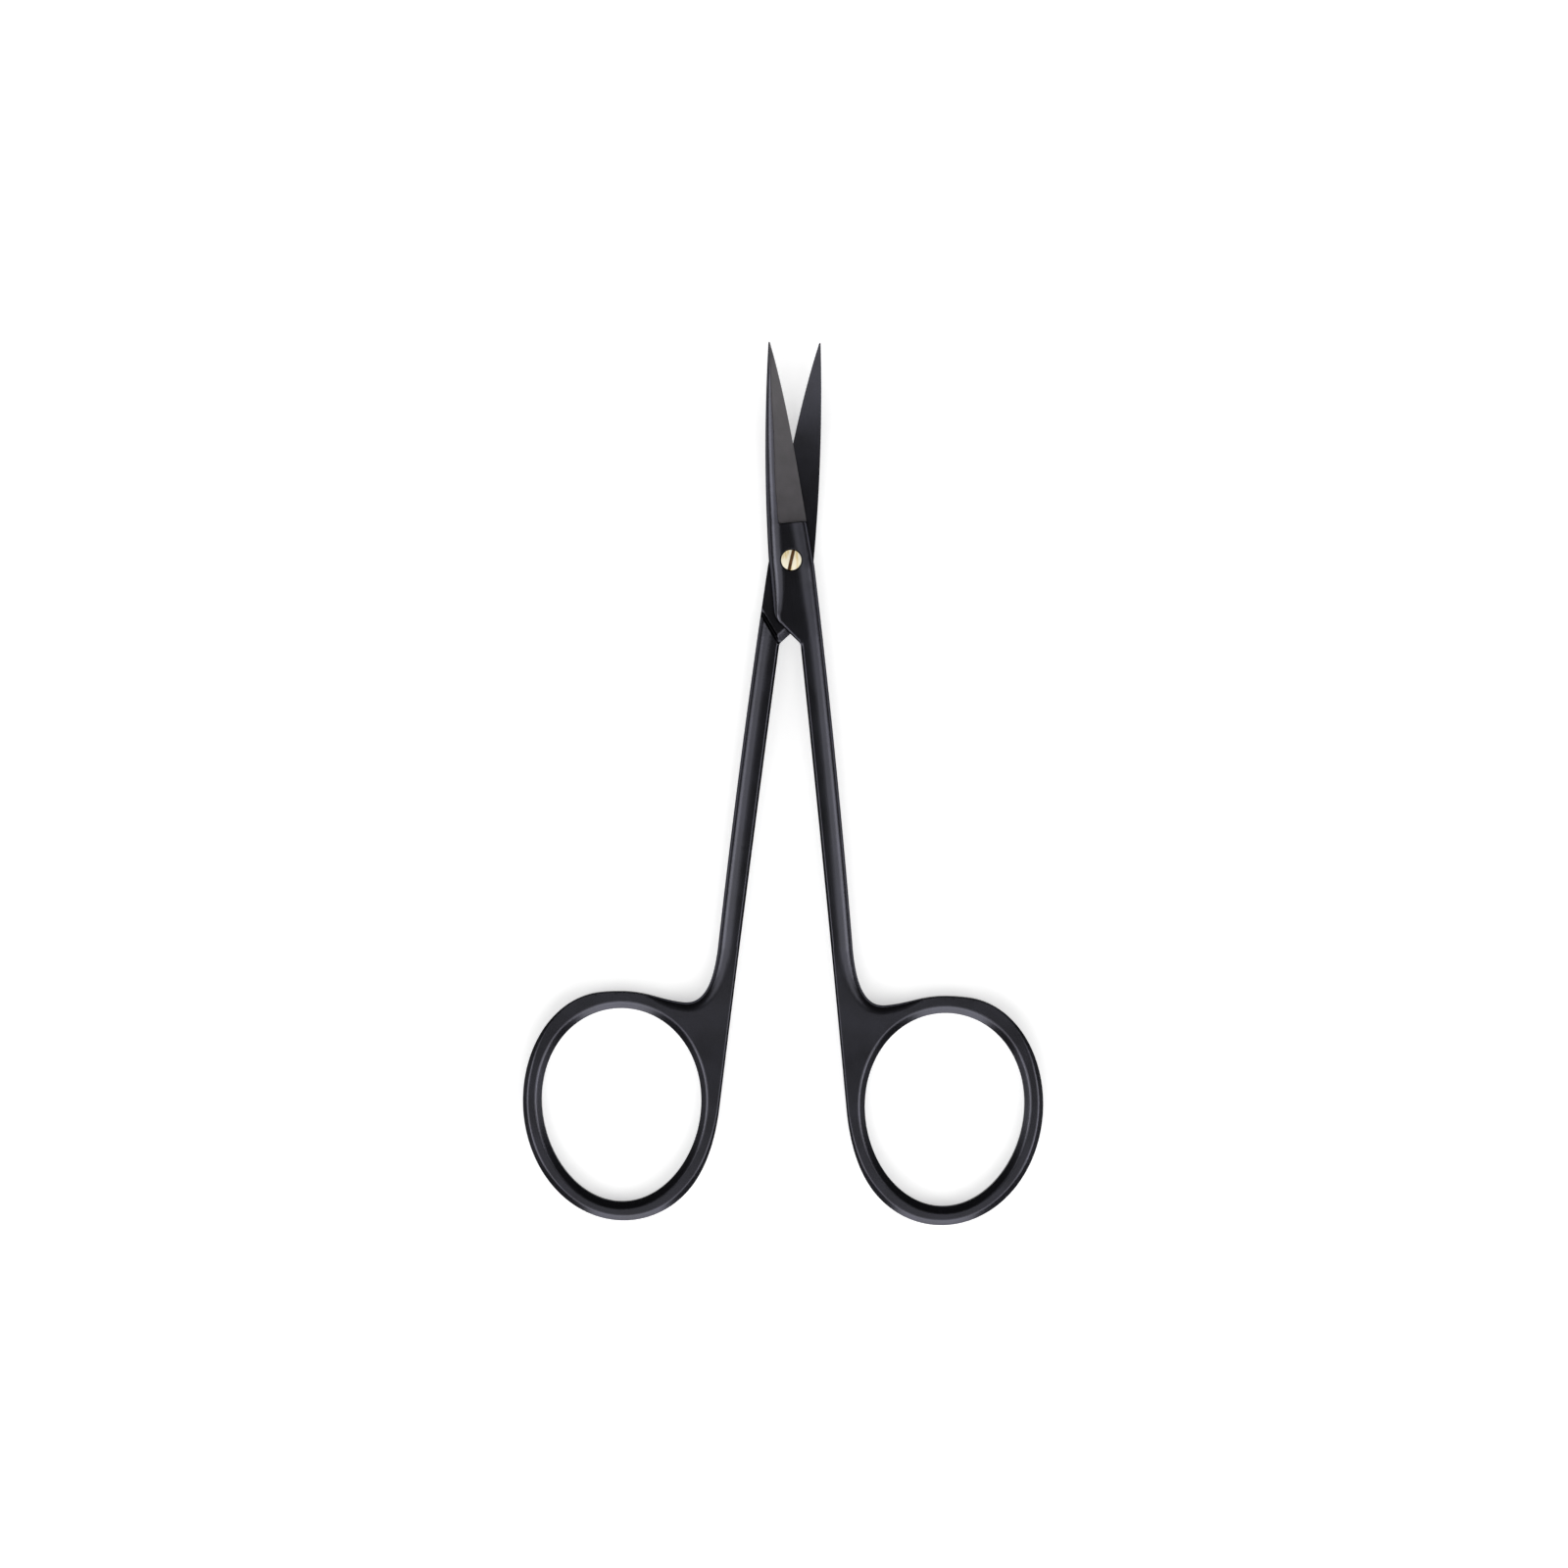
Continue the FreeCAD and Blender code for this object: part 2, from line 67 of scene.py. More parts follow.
# Shoulder, where the lap ends: the top of its wall, the run of the wall in plan, and the groove
# at its foot, whose lip is a bevel given by its width and depth
SHOULDER_NEAR = (0.0005, -0.01072)
SHOULDER_FAR = (0.00296, -0.00758)
SHOULDER_RUN = 0.00026
GROOVE_WIDTH = 0.00022
GROOVE_DEPTH = 0.00025
GROOVE_LIP_WIDTH = 0.00017
GROOVE_LIP_DEPTH = 0.00008

# Shank: distance of its two sides from the closing plane
INNER_SIDE_TOP = 0.00013
INNER_SIDE_MIDDLE = 0.00021
INNER_SIDE_RING = 0.0001
INNER_SIDE_END_Y = -0.071
OUTER_SIDE_MIDDLE = 0.00314
OUTER_SIDE_FORK = 0.00293
FORK_Y = -0.0505

# Valley between the shank and the ring, and how hard the curves beside it pull
VALLEY = (0.0065, -0.05795)
FORK_PULL = 0.0046
VALLEY_PULL = 0.0027
CREST_PULL = 0.004
RING_TOP_PULL = 0.0055
FOOT_PULL = 0.0036

# Ring and finger hole as ovals that lean and are wider at one end
RING = {"x": 0.01313, "y": -0.07218, "half_width": 0.01204, "half_length": 0.014747, "lean": 19.7,
        "egg": -0.044}
HOLE = {"x": 0.01259, "y": -0.07197, "half_width": 0.01021, "half_length": 0.01239, "lean": 8.2,
        "egg": 0.053}
RING_FOOT_ANGLE = 238.0
RING_TOP_ANGLE = 456.0

# Screw: its bore, the seat of its head, and the height below which its slot is painted dark brown
# as shade
BORE_RADIUS = 0.00091
SEAT_RADIUS = 0.00144
SEAT_WALL_RUN = 0.00002
SEAT_FLOOR = 0.00257
SLOT_SHADE_BELOW = 0.0032

# Edge work, as a width in from the edge and a depth down from the face
SHANK_ROUND = (0.0021, 0.00115)
JOINT_ROUND = (0.0026, 0.00122)
VALLEY_ROUND = (0.0011, 0.0007)
CREST_ROUND = (0.0002, 0.00015)
RIM_BEVEL = (0.00063, 0.00048)
HOLE_BEVEL = (0.0008, 0.0006)
LAP_CHAMFER = (0.00095, 0.00045)
SHANK_CHAMFER = (0.0003, 0.0003)
WEB_CHAMFER = (0.00025, 0.00025)
EDGE_BREAK = (0.0001, 0.0001)

# Where the outer round swells out of the ring's crest, and where it changes about the joint,
# measured back and forth from the joint's front
CREST_ROUND_REACH = 0.0045
CREST_SWELL_SHARES = (0.25, 0.5, 0.75, 1.0)
SHANK_ROUND_END = 0.009
JOINT_ROUND_START = 0.002
JOINT_ROUND_PAST = 0.0075

# Round of the spine: its width over the radius from the pivot and its depth as a share of the
# blade's thickness, then the share of its full size that is left along the back and past it
SPINE_ROUND_WIDTHS = (
    (0.0, 0.0019), (0.009, 0.0019), (0.0165, 0.0015), (0.0215, 0.00095), (0.0279, 0.0002),
)
SPINE_ROUND_DEPTH = 0.85
BACK_ROUND_SHARES = ((0.25, 1.0), (0.45, 0.96), (0.65, 0.87), (0.85, 0.73), (1.0, 0.58))
CORNER_ROUND_SHARE = 0.25
DIAGONAL_ROUND_SHARE = 0.15

# Shares of the rim at which its bevel starts to fade and has faded out
RIM_FADE_SHARES = (0.72, 0.93)

# Ground facet of the blade: its distance from the spine over the radius from the pivot, the step
# down to it with the run of that step in plan, and the thickness left at the cutting edge
FACET_START = 0.0047
FACET_BORDER = (
    (0.005, 0.00145), (0.009, 0.00122), (0.0165, 0.001), (0.0215, 0.0006), (0.0279, 0.0001),
)
FACET_STEP = 0.00014
FACET_RUN = 0.00012
FACET_CORNER_RADIUS = 0.0005
FACET_EDGE_THICKNESS = 0.00022

# Fineness of the mesh: steps along the outline and across the flats, how clear of the loops a
# loose point lies, rows at each round and at each soft crease, and points on the curves
STEP = 0.0002
GRID = 0.0005
LOOP_CLEARANCE = 0.00002
ROUNDING_SLACK = 0.000001
CREASE_GUARD = 0.00005
CREASE_SHARE = 0.22
CREASE_ROWS = 7
BEVEL_ROW_SHARES = (0.1, 0.5)
ROUND_ROWS = 10
CIRCLE_TURNS = 73
CORNER_TURNS = 9
CURVE_POINTS = 200
RIM_POINTS = 400
HOLE_POINTS = 361
FACET_POINTS = 140
FACET_ROW_SHARES = (-0.6, 0.0, 0.5, 1.0, 1.4)
SHOULDER_REACH = 0.005
SHOULDER_POINTS = 50
POINTS_AT_ONCE = 400
LEAST_THICKNESS = 0.00005
SMOOTH_ANGLE = 32.0

# The mesher and the curve fit work in millimetres. The mesher makes one of two points that lie
# closer than this.
MILLIMETRES = 1000
WELD = 0.0001

# Looks: pairs of colours or roughnesses between which the surface drifts, the noises that it
# drifts by, and the depth of its relief with the radius of its broken edges
COATING_COLOURS = ((0.057, 0.057, 0.066), (0.065, 0.065, 0.079))
COATING_ROUGHNESS = (0.23, 0.28)
COATING_GRAZING_TINT = (0.2, 0.2, 0.2, 1)
COATING_CLOUD = {"scale": 260}
COATING_GRAIN = {"scale": 5200, "detail": 4}
COATING_RELIEF = {"depth": 0.000006, "edge_radius": 0.00008}
FACET_COLOURS = ((0.041, 0.037, 0.042), (0.059, 0.053, 0.060))
FACET_ROUGHNESS = (0.40, 0.55)
FACET_SPECULAR = 0.6
FACET_CLOUD = {"scale": 420, "detail": 4}
FACET_LINES = {"scale": 900, "detail": 4, "stretch": (1, 9, 1)}
FACET_RELIEF = {"depth": 0.00002, "edge_radius": 0.00004}
GOLD_COLOURS = ((0.85, 0.68, 0.34), (1.0, 0.93, 0.74))
# Dark browns painted into the screw's slot as its shade
SLOT_SHADE_COLOURS = ((0.16, 0.07, 0.02), (0.34, 0.17, 0.06))
GOLD_ROUGHNESS = (0.6, 0.7)
GOLD_METALLIC = 0.3
GOLD_CLOUD = {"scale": 900}
GOLD_GRAIN = {"scale": 2600, "detail": 4}
GOLD_STREAKS = {"scale": 300, "detail": 2, "stretch": (6, 1, 1)}
GOLD_STREAK_RANGE = {"start": 0.36, "end": 0.50}
GOLD_RELIEF = {"depth": 0.00001, "edge_radius": 0.00006}
BUMP_STRENGTH = 0.5
BEVEL_SAMPLES = 6

# Stage: the floor's own colour and the glow that brings it to white, and lamps whose glow is
# that of a surface, on which 1 is white
FLOOR_HALF_WIDTH = 3
FLOOR_COLOUR = (0.8, 0.8, 0.8, 1)
FLOOR_GLOW = (0.52, 0.52, 0.52, 1)
SIDE_SKIRT = {"place": (0.58, -0.18, 0.69), "width": 0.6, "height": 0.9, "glow": 1.25}
SIDE_CORE = {"place": (0.68, -0.18, 0.49), "width": 0.6, "height": 0.26, "glow": 2.6}
FRONT_LAMP = {"place": (0.0, -0.42, 0.2), "width": 0.4, "height": 0.35, "glow": 2.6}
FRONT_CARD = {"place": (0.0, -0.20, 0.32), "width": 0.4, "height": 0.2, "glow": 1.0}
WORLD_GLOW = 0.05

LAP_FACE = THICKNESS / 2 + LAP_GAP / 2
JOINT_LEAF = THICKNESS - LAP_FACE
RING_RELIEF = (THICKNESS - RING_THICKNESS) / 2


# Curves of the outline, each a run of points
def line(start, end):
    return np.array((start, end), float)


def arc(start, middle, end):
    start, middle, end = (np.array(p, float) for p in (start, middle, end))
    sides = 2 * np.array((middle - start, end - start))
    squares = np.array((middle @ middle - start @ start, end @ end - start @ start))
    centre = np.linalg.solve(sides, squares)
    angles = np.unwrap([math.atan2(*(p - centre)[::-1]) for p in (start, middle, end)])
    turns = np.linspace(angles[0], angles[-1], CURVE_POINTS)
    radius = np.hypot(*(start - centre))
    return centre + radius * np.stack((np.cos(turns), np.sin(turns)), 1)


def bezier(start, start_pull, end_pull, end):
    start, end = np.array(start, float), np.array(end, float)
    share = np.linspace(0, 1, CURVE_POINTS)[:, None]
    rest = 1 - share
    near = 3 * rest ** 2 * share * (start + start_pull)
    far = 3 * rest * share ** 2 * (end + end_pull)
    return rest ** 3 * start + near + far + share ** 3 * end


def oval(angles, x, y, half_width, half_length, lean, egg):
    turn, tilt = np.radians(angles), math.radians(lean)
    across = half_width * (1 + egg * np.sin(turn)) * np.cos(turn)
    along = half_length * np.sin(turn)
    right = across * math.cos(tilt) + along * math.sin(tilt)
    up = along * math.cos(tilt) - across * math.sin(tilt)
    return np.stack((x + right, y + up), 1)


# Closed circle about the pivot
def circle(radius):
    turns = np.linspace(0, 2 * math.pi, CIRCLE_TURNS)
    return radius * np.stack((np.cos(turns), np.sin(turns)), 1)


# The curve through a few points that gives X as a smooth function of Y
def curve_through(points, y):
    points = np.array(points)
    shape = np.polyfit(points[:, 1] * MILLIMETRES, points[:, 0], len(points) - 1)
    return np.stack((np.polyval(shape, y * MILLIMETRES), y), 1)


# Distance along a path at each of its points
def lengths(path):
    return np.concatenate(((0,), np.cumsum(np.hypot(*np.diff(path, axis=0).T))))


# The same path in even steps
def even(path):
    along = lengths(path)
    count = max(round(along[-1] / STEP), 2)
    places = np.linspace(0, along[-1], count + 1)
    return np.stack([np.interp(places, along, path[:, axis]) for axis in (0, 1)], 1)


# Directions to the left of a path, which is inwards on the outline
def normals(path):
    along = np.gradient(path, axis=0)
    along /= np.hypot(*along.T)[:, None]
    return np.stack((-along[:, 1], along[:, 0]), 1)


def unit(vector):
    return vector / np.hypot(*vector)


# Start, middle and end of the arc that rounds a corner
def rounded_corner(before, corner, after, radius):
    before, corner, after = (np.array(p, float) for p in (before, corner, after))
    back, ahead = unit(before - corner), unit(after - corner)
    half_angle = math.acos(back @ ahead) / 2
    reach = radius / math.tan(half_angle)
    depth = radius / math.sin(half_angle) - radius
    inward = unit(back + ahead)
    return corner + back * reach, corner + inward * depth, corner + ahead * reach


# Outline of a half, anticlockwise from the tip: down the spine, round the ring and up again
def half_outline():
    tip_left = np.array((TIP_X - TIP_RADIUS, BLADE_REACH - TIP_RADIUS))
    tip_right = np.array((TIP_X + TIP_RADIUS, BLADE_REACH - TIP_RADIUS))
    spine_end = np.array((-JOINT_HALF_WIDTH, 0))
    spine_middle = (tip_left + spine_end) / 2 - (SPINE_BOW, 0)
    back_corner = (-JOINT_HALF_WIDTH, BACK_CORNER_Y)
    crotch = np.array((INNER_SIDE_TOP, CROTCH_Y))
    inner_middle = (INNER_SIDE_MIDDLE, (CROTCH_Y + INNER_SIDE_END_Y) / 2)
    inner_end = (INNER_SIDE_RING, INNER_SIDE_END_Y)
    corner = rounded_corner(spine_end, back_corner, crotch, BACK_CORNER_RADIUS)
    notch = rounded_corner(back_corner, crotch, crotch - (0, 1), CROTCH_RADIUS)
    joint_front = (JOINT_HALF_WIDTH, JOINT_FRONT_Y)
    fork = (OUTER_SIDE_FORK, FORK_Y)
    outer_middle = (OUTER_SIDE_MIDDLE, (FORK_Y + JOINT_FRONT_Y) / 2)
    edge_middle = (EDGE_STEP + tip_right) / 2 + (EDGE_BOW, 0)
    edge_y = np.linspace(JOINT_FRONT_Y, tip_right[1], CURVE_POINTS)
    rim = oval(np.linspace(RING_FOOT_ANGLE, RING_TOP_ANGLE, RIM_POINTS), **RING)
    down, left = np.array((0, -1)), np.array((-1, 0))
    foot_pull = FOOT_PULL * unit(rim[0] - rim[1])
    top_pull = RING_TOP_PULL * unit(rim[-1] - rim[-2])
    runs = {
        "tip": arc(tip_right, (TIP_X, BLADE_REACH), tip_left),
        "spine": arc(tip_left, spine_middle, spine_end),
        "back": line(spine_end, corner[0]),
        "corner": arc(*corner),
        "diagonal": line(corner[2], notch[0]),
        "crotch": arc(*notch),
        "inner": arc(notch[2], inner_middle, inner_end),
        "foot": bezier(inner_end, down * FOOT_PULL, foot_pull, rim[0]),
        "rim": rim,
        "crest": bezier(rim[-1], top_pull, left * -CREST_PULL, VALLEY),
        "fork": bezier(VALLEY, left * VALLEY_PULL, down * FORK_PULL, fork),
        "outer": arc(fork, outer_middle, joint_front),
        "edge": curve_through((joint_front, EDGE_STEP, edge_middle, tip_right), edge_y),
    }
    return {name: even(path) for name, path in runs.items()}


OUTLINE = half_outline()
FINGER_HOLE = oval(np.linspace(360, 0, HOLE_POINTS), **HOLE)


# Runs of the outline as one path, and their length
def joined(*names):
    return np.concatenate([OUTLINE[name][:-1] for name in names] + [OUTLINE[names[-1]][-1:]])


def length(*names):
    return lengths(joined(*names))[-1]


# X of the spine or the cutting edge at heights along the blade
def side_x(name, y):
    path = OUTLINE[name]
    order = np.argsort(path[:, 1])
    return np.interp(y, path[order, 1], path[order, 0])


# Distance from each point to a path, and how far along the path the nearest place lies
def nearest(points, path):
    starts, steps = path[:-1], np.diff(path, axis=0)
    squares = (steps ** 2).sum(1)
    along = lengths(path)
    distance, place = np.empty(len(points)), np.empty(len(points))
    for first in range(0, len(points), POINTS_AT_ONCE):
        some = slice(first, first + POINTS_AT_ONCE)
        offset = points[some, None] - starts
        share = np.clip((offset * steps).sum(2) / squares, 0, 1)
        apart = offset - share[..., None] * steps
        away = np.hypot(apart[..., 0], apart[..., 1])
        best = away.argmin(1)
        row = np.arange(len(best))
        distance[some] = away[row, best]
        place[some] = along[best] + share[row, best] * np.sqrt(squares[best])
    return distance, place


# Which points lie within a closed loop
def within(points, loop):
    inside = np.zeros(len(points), bool)
    for (x0, y0), (x1, y1) in zip(loop[:-1], loop[1:]):
        crossed = (points[:, 1] < y0) != (points[:, 1] < y1)
        if y0 != y1:
            side = x0 + (points[:, 1] - y0) * (x1 - x0) / (y1 - y0)
            inside ^= crossed & (points[:, 0] < side)
    return inside


# A share that eases in and out
def smooth(value):
    share = np.clip(value, 0, 1)
    return share * share * (3 - 2 * share)


# How much of its depth a quarter-round section has lost, at shares of its width from its foot
def round_loss(share):
    return 1 - np.sqrt(1 - np.clip(share, 0, 1) ** 2)


# How far the curved blade has risen, and how thick it is, at radii from the pivot
def rise(radius):
    run = np.clip(radius - CURVE_START, 0, CURVE_RADIUS)
    return CURVE_RADIUS - np.sqrt(CURVE_RADIUS ** 2 - run ** 2)


def blade_thickness(radius):
    share = np.clip((radius - CURVE_START) / (BLADE_REACH - CURVE_START), 0, 1)
    return JOINT_LEAF + (TIP_THICKNESS - JOINT_LEAF) * share


# One stretch of edge work: a path, keys of place along it, width and depth, and whether its
# section is a round or a flat bevel with a soft crease
class EdgeWork:
    def __init__(self, path, keys, rounded):
        self.path = path
        self.rounded = rounded
        self.places, self.widths, self.depths = np.array(keys, float).T

    def width_at(self, place):
        return np.interp(place, self.places, self.widths)

    def depth_at(self, place):
        return np.interp(place, self.places, self.depths)

    # How far the face lies below its own level near this edge
    def drop(self, points):
        distance, place = nearest(points, self.path)
        share = 1 - distance / self.width_at(place)
        if self.rounded:
            lost = round_loss(share)
        else:
            turned = (share + CREASE_SHARE) ** 2 / (4 * CREASE_SHARE)
            lost = np.where(share > CREASE_SHARE, share, turned)
            lost = np.where(share < -CREASE_SHARE, 0, lost)
        return self.depth_at(place) * lost

    # Rows of points along the edge, with how far in from the outline each must lie
    def rows(self):
        if self.rounded:
            shares = 1 - np.cos(np.linspace(0, math.pi / 2, ROUND_ROWS))[1:]
        else:
            turned = np.linspace(1 - CREASE_SHARE, 1 + CREASE_SHARE, CREASE_ROWS)
            shares = np.concatenate((BEVEL_ROW_SHARES, turned))
        width = self.width_at(lengths(self.path))
        inward = normals(self.path)
        for share in shares:
            yield self.path + inward * (width * share)[:, None], width * share
        past = width * shares[-1] + CREASE_GUARD
        yield self.path + inward * past[:, None], past


# Round of the outer side: out of the crest, down the fork, up the shank, past the joint
def outer_round():
    start, valley = length("crest") - CREST_ROUND_REACH, length("crest")
    fork = valley + length("fork")
    joint = fork + length("outer")
    keys = [(start - STEP, *CREST_ROUND)]
    for share in CREST_SWELL_SHARES:
        swell = 1 - (1 - share) ** 2
        size = [a + (b - a) * swell for a, b in zip(CREST_ROUND, VALLEY_ROUND)]
        keys.append((start + CREST_ROUND_REACH * share, *size))
    keys.append((fork, *SHANK_ROUND))
    keys.append((joint - SHANK_ROUND_END, *SHANK_ROUND))
    keys.append((joint - JOINT_ROUND_START, *JOINT_ROUND))
    path = joined("crest", "fork", "outer", "edge")
    along = lengths(path)
    kept = (along >= start) & (along < joint + JOINT_ROUND_PAST)
    skipped = along[kept][0]
    return EdgeWork(path[kept], [(place - skipped, *size) for place, *size in keys], True)


# Round of the spine: from the tip round the back corner, narrower on the back and the diagonal
def spine_round():
    path = joined("spine", "back", "corner", "diagonal")
    spine, back = length("spine"), length("back")
    corner, end = length("spine", "back", "corner"), lengths(path)[-1]
    keys = []
    for radius, width in SPINE_ROUND_WIDTHS[::-1]:
        place = (BLADE_REACH - radius) / BLADE_REACH * spine
        keys.append((place, width, SPINE_ROUND_DEPTH * blade_thickness(radius)))
    full = keys[-1][1:]
    places = [(spine + back * along, share) for along, share in BACK_ROUND_SHARES]
    places += [(corner, CORNER_ROUND_SHARE), (end, DIAGONAL_ROUND_SHARE)]
    for place, share in places:
        keys.append((place, *(share * size for size in full)))
    return EdgeWork(path, keys, True)


def shank_chamfer():
    path = OUTLINE["inner"][OUTLINE["inner"][:, 1] > THINNING_START_Y]
    return EdgeWork(path, [(0, *SHANK_CHAMFER)], False)


# Bevel of the rim: narrow on the web, full round the ring, and faded out on its crest
def rim_bevel():
    inner = OUTLINE["inner"][OUTLINE["inner"][:, 1] <= THINNING_START_Y]
    path = np.concatenate((inner[:-1], joined("foot", "rim", "crest")))
    web = lengths(inner)[-1]
    foot = web + length("foot")
    fade_start, fade_end = (foot + length("rim") * share for share in RIM_FADE_SHARES)
    keys = [
        (0, *WEB_CHAMFER),
        (web, *WEB_CHAMFER),
        (foot, *RIM_BEVEL),
        (fade_start, *RIM_BEVEL),
        (fade_end, *EDGE_BREAK),
    ]
    return EdgeWork(path, keys, False)


def hole_bevel():
    return EdgeWork(FINGER_HOLE, [(0, *HOLE_BEVEL)], False)


def lap_chamfer():
    return EdgeWork(OUTLINE["diagonal"], [(0, *LAP_CHAMFER)], False)


BOTH_FACES = (outer_round(), shank_chamfer(), rim_bevel(), hole_bevel())
OUTER_FACE_ONLY = spine_round()
LAP_FACE_ONLY = lap_chamfer()


# X of the ground facet's left border
def facet_left(y):
    radii, borders = np.array(FACET_BORDER).T
    return side_x("spine", y) + np.interp(y, radii, borders)


# How far a point lies inside the ground facet, with its lower left corner rounded
def inside_facet(points):
    x, y = points.T
    right_of, above = x - facet_left(y), y - FACET_START
    short_across = np.maximum(FACET_CORNER_RADIUS - right_of, 0)
    short_along = np.maximum(FACET_CORNER_RADIUS - above, 0)
    to_corner = FACET_CORNER_RADIUS - np.hypot(short_across, short_along)
    return np.minimum(to_corner, np.minimum(right_of, above))


# Border of the facet: down its left side, round the corner and across to the cutting edge
def facet_border():
    y = np.linspace(FACET_START, BLADE_REACH, FACET_POINTS)
    start = FACET_START + FACET_CORNER_RADIUS
    upright = np.stack((facet_left(y), y), 1)[y > start]
    centre = (facet_left(start) + FACET_CORNER_RADIUS, start)
    turns = np.linspace(math.pi, 1.5 * math.pi, CORNER_TURNS)
    bend = centre + FACET_CORNER_RADIUS * np.stack((np.cos(turns), np.sin(turns)), 1)
    level = line(bend[-1], (side_x("edge", FACET_START), FACET_START))
    return even(np.concatenate((upright[::-1], bend, level[1:])))


# Foot of the shoulder's wall, the direction along it and the direction towards the handle
def shoulder():
    along = unit(np.subtract(SHOULDER_FAR, SHOULDER_NEAR))
    outward = np.array((along[1], -along[0]))
    return SHOULDER_NEAR - outward * SHOULDER_RUN, along, outward


# The groove's section: distances past the wall's foot, with how deep it is there
GROOVE_PLACES = (-GROOVE_WIDTH - GROOVE_LIP_WIDTH, -GROOVE_WIDTH, CREASE_GUARD - GROOVE_WIDTH)
GROOVE_DEPTHS = (0, GROOVE_LIP_DEPTH, GROOVE_DEPTH)


# Closed loops that bound the plan: the outline, the finger hole and the bore
def bounding_loops():
    outline, hole = joined(*OUTLINE)[:-1], even(FINGER_HOLE)[:-1]
    bore = circle(BORE_RADIUS)[:-1]
    return [np.concatenate((loop, loop[:1])) for loop in (outline, hole, bore)]


# Rows of points along each crease, which no triangle crosses, so that the flats stay flat
def crease_rows():
    for radius in (SEAT_RADIUS - SEAT_WALL_RUN, SEAT_RADIUS, SEAT_RADIUS + CREASE_GUARD):
        yield circle(radius)
    border = facet_border()
    for share in FACET_ROW_SHARES:
        yield border + normals(border) * (FACET_RUN * share)
    foot, along, outward = shoulder()
    reach = np.linspace(-SHOULDER_REACH, SHOULDER_REACH, SHOULDER_POINTS)[:, None]
    groove = (GROOVE_PLACES[0] - CREASE_GUARD, *GROOVE_PLACES, -CREASE_GUARD)
    wall = (0.0, SHOULDER_RUN / 2, SHOULDER_RUN, SHOULDER_RUN + CREASE_GUARD)
    for past in (*groove, *wall):
        yield foot + along * reach + outward * past


# Loose points of the plan: the rows of the edge work and a grid, clear of the loops
def loose_points(loops):
    found = []
    for work in (*BOTH_FACES, OUTER_FACE_ONLY, LAP_FACE_ONLY):
        own_loop = loops[1] if work.path is FINGER_HOLE else loops[0]
        for row, needed in work.rows():
            found.append(row[nearest(row, own_loop)[0] > needed - ROUNDING_SLACK])
    low, high = loops[0].min(0), loops[0].max(0)
    across, along = (np.arange(a, b, GRID) for a, b in zip(low, high))
    found.append(np.stack(np.meshgrid(across, along), -1).reshape(-1, 2))
    found = np.concatenate(found)
    for loop in loops:
        found = found[nearest(found, loop)[0] > LOOP_CLEARANCE]
    return found


# The plan: its points and the triangles between them
def make_plan():
    loops = bounding_loops()
    paths, sides, count = [], [], 0
    for path in (*loops, *crease_rows()):
        sides += [(count + a, count + a + 1) for a in range(len(path) - 1)]
        paths.append(path)
        count += len(path)
    points = np.concatenate((*paths, loose_points(loops)))
    scaled = [Vector(p) for p in (points * MILLIMETRES).tolist()]
    found, _, faces, *_ = delaunay_2d_cdt(scaled, sides, [], 0, WELD)
    found, faces = np.array([tuple(p) for p in found]) / MILLIMETRES, np.array(faces)
    middles = found[faces].mean(1)
    solid = within(middles, loops[0])
    for hole in loops[1:]:
        solid &= ~within(middles, hole)
    used, faces = np.unique(faces[solid], return_inverse=True)
    return found[used], faces.reshape(-1, 3)


# Heights of the outer and inner faces of a half over the plan. Bend is 1 for a blade that
# curves towards its outer face, and -1 for one that curves the other way.
class Faces:
    def __init__(self, points):
        self.points = points
        radius = np.hypot(*points.T)
        in_front = points[:, 1] > 0
        self.rise = np.where(in_front, rise(radius), 0)
        self.thinning = np.where(in_front, JOINT_LEAF - blade_thickness(radius), 0)
        span = THINNING_START_Y - THINNING_END_Y
        self.relief = RING_RELIEF * smooth((THINNING_START_Y - points[:, 1]) / span)
        self.shared_drop = np.max([work.drop(points) for work in BOTH_FACES], axis=0)
        self.outer_drop = np.maximum(self.shared_drop, OUTER_FACE_ONLY.drop(points))
        self.facet = inside_facet(points)
        foot, _, outward = shoulder()
        past = (points - foot) @ outward
        self.behind = np.clip(past / SHOULDER_RUN, 0, 1)
        groove = np.interp(past, GROOVE_PLACES, GROOVE_DEPTHS)
        self.lap_drop = np.maximum(LAP_FACE_ONLY.drop(points), groove)

    # The ground plane of the facet, from a step below its left border down to the cutting edge
    def facet_plane(self, bend):
        x, y = self.points.T
        left, right = facet_left(y), side_x("edge", y)
        on_left, on_right = np.hypot(left, y), np.hypot(right, y)
        width = np.interp(on_left, *np.array(SPINE_ROUND_WIDTHS).T)
        border = np.interp(on_left, *np.array(FACET_BORDER).T)
        thick = blade_thickness(on_left)
        kept = 1 - SPINE_ROUND_DEPTH * round_loss(1 - border / width)
        left_height = LAP_FACE + thick * kept + bend * rise(on_left)
        left_height -= FACET_STEP * thick / JOINT_LEAF
        right_height = LAP_FACE + FACET_EDGE_THICKNESS + bend * rise(on_right)
        share = np.clip((x - left) / np.maximum(right - left, STEP), 0, 1)
        return left_height + (right_height - left_height) * share

    def outer(self, bend, seat):
        height = THICKNESS - self.relief - self.thinning - self.outer_drop + bend * self.rise
        blend = np.clip(self.facet / FACET_RUN, 0, 1)
        ground = np.minimum(self.facet_plane(bend), height)
        height = height + (ground - height) * blend
        if seat:
            in_seat = np.hypot(*self.points.T) < SEAT_RADIUS - SEAT_WALL_RUN / 2
            height = np.where(in_seat, SEAT_FLOOR, height)
        return height

    def inner(self, bend):
        handle = self.relief + self.shared_drop
        lap = LAP_FACE + bend * self.rise + self.lap_drop
        wall = (LAP_FACE + GROOVE_DEPTH) * (1 - self.behind)
        return np.where(self.behind <= 0, lap, np.maximum(wall, handle))


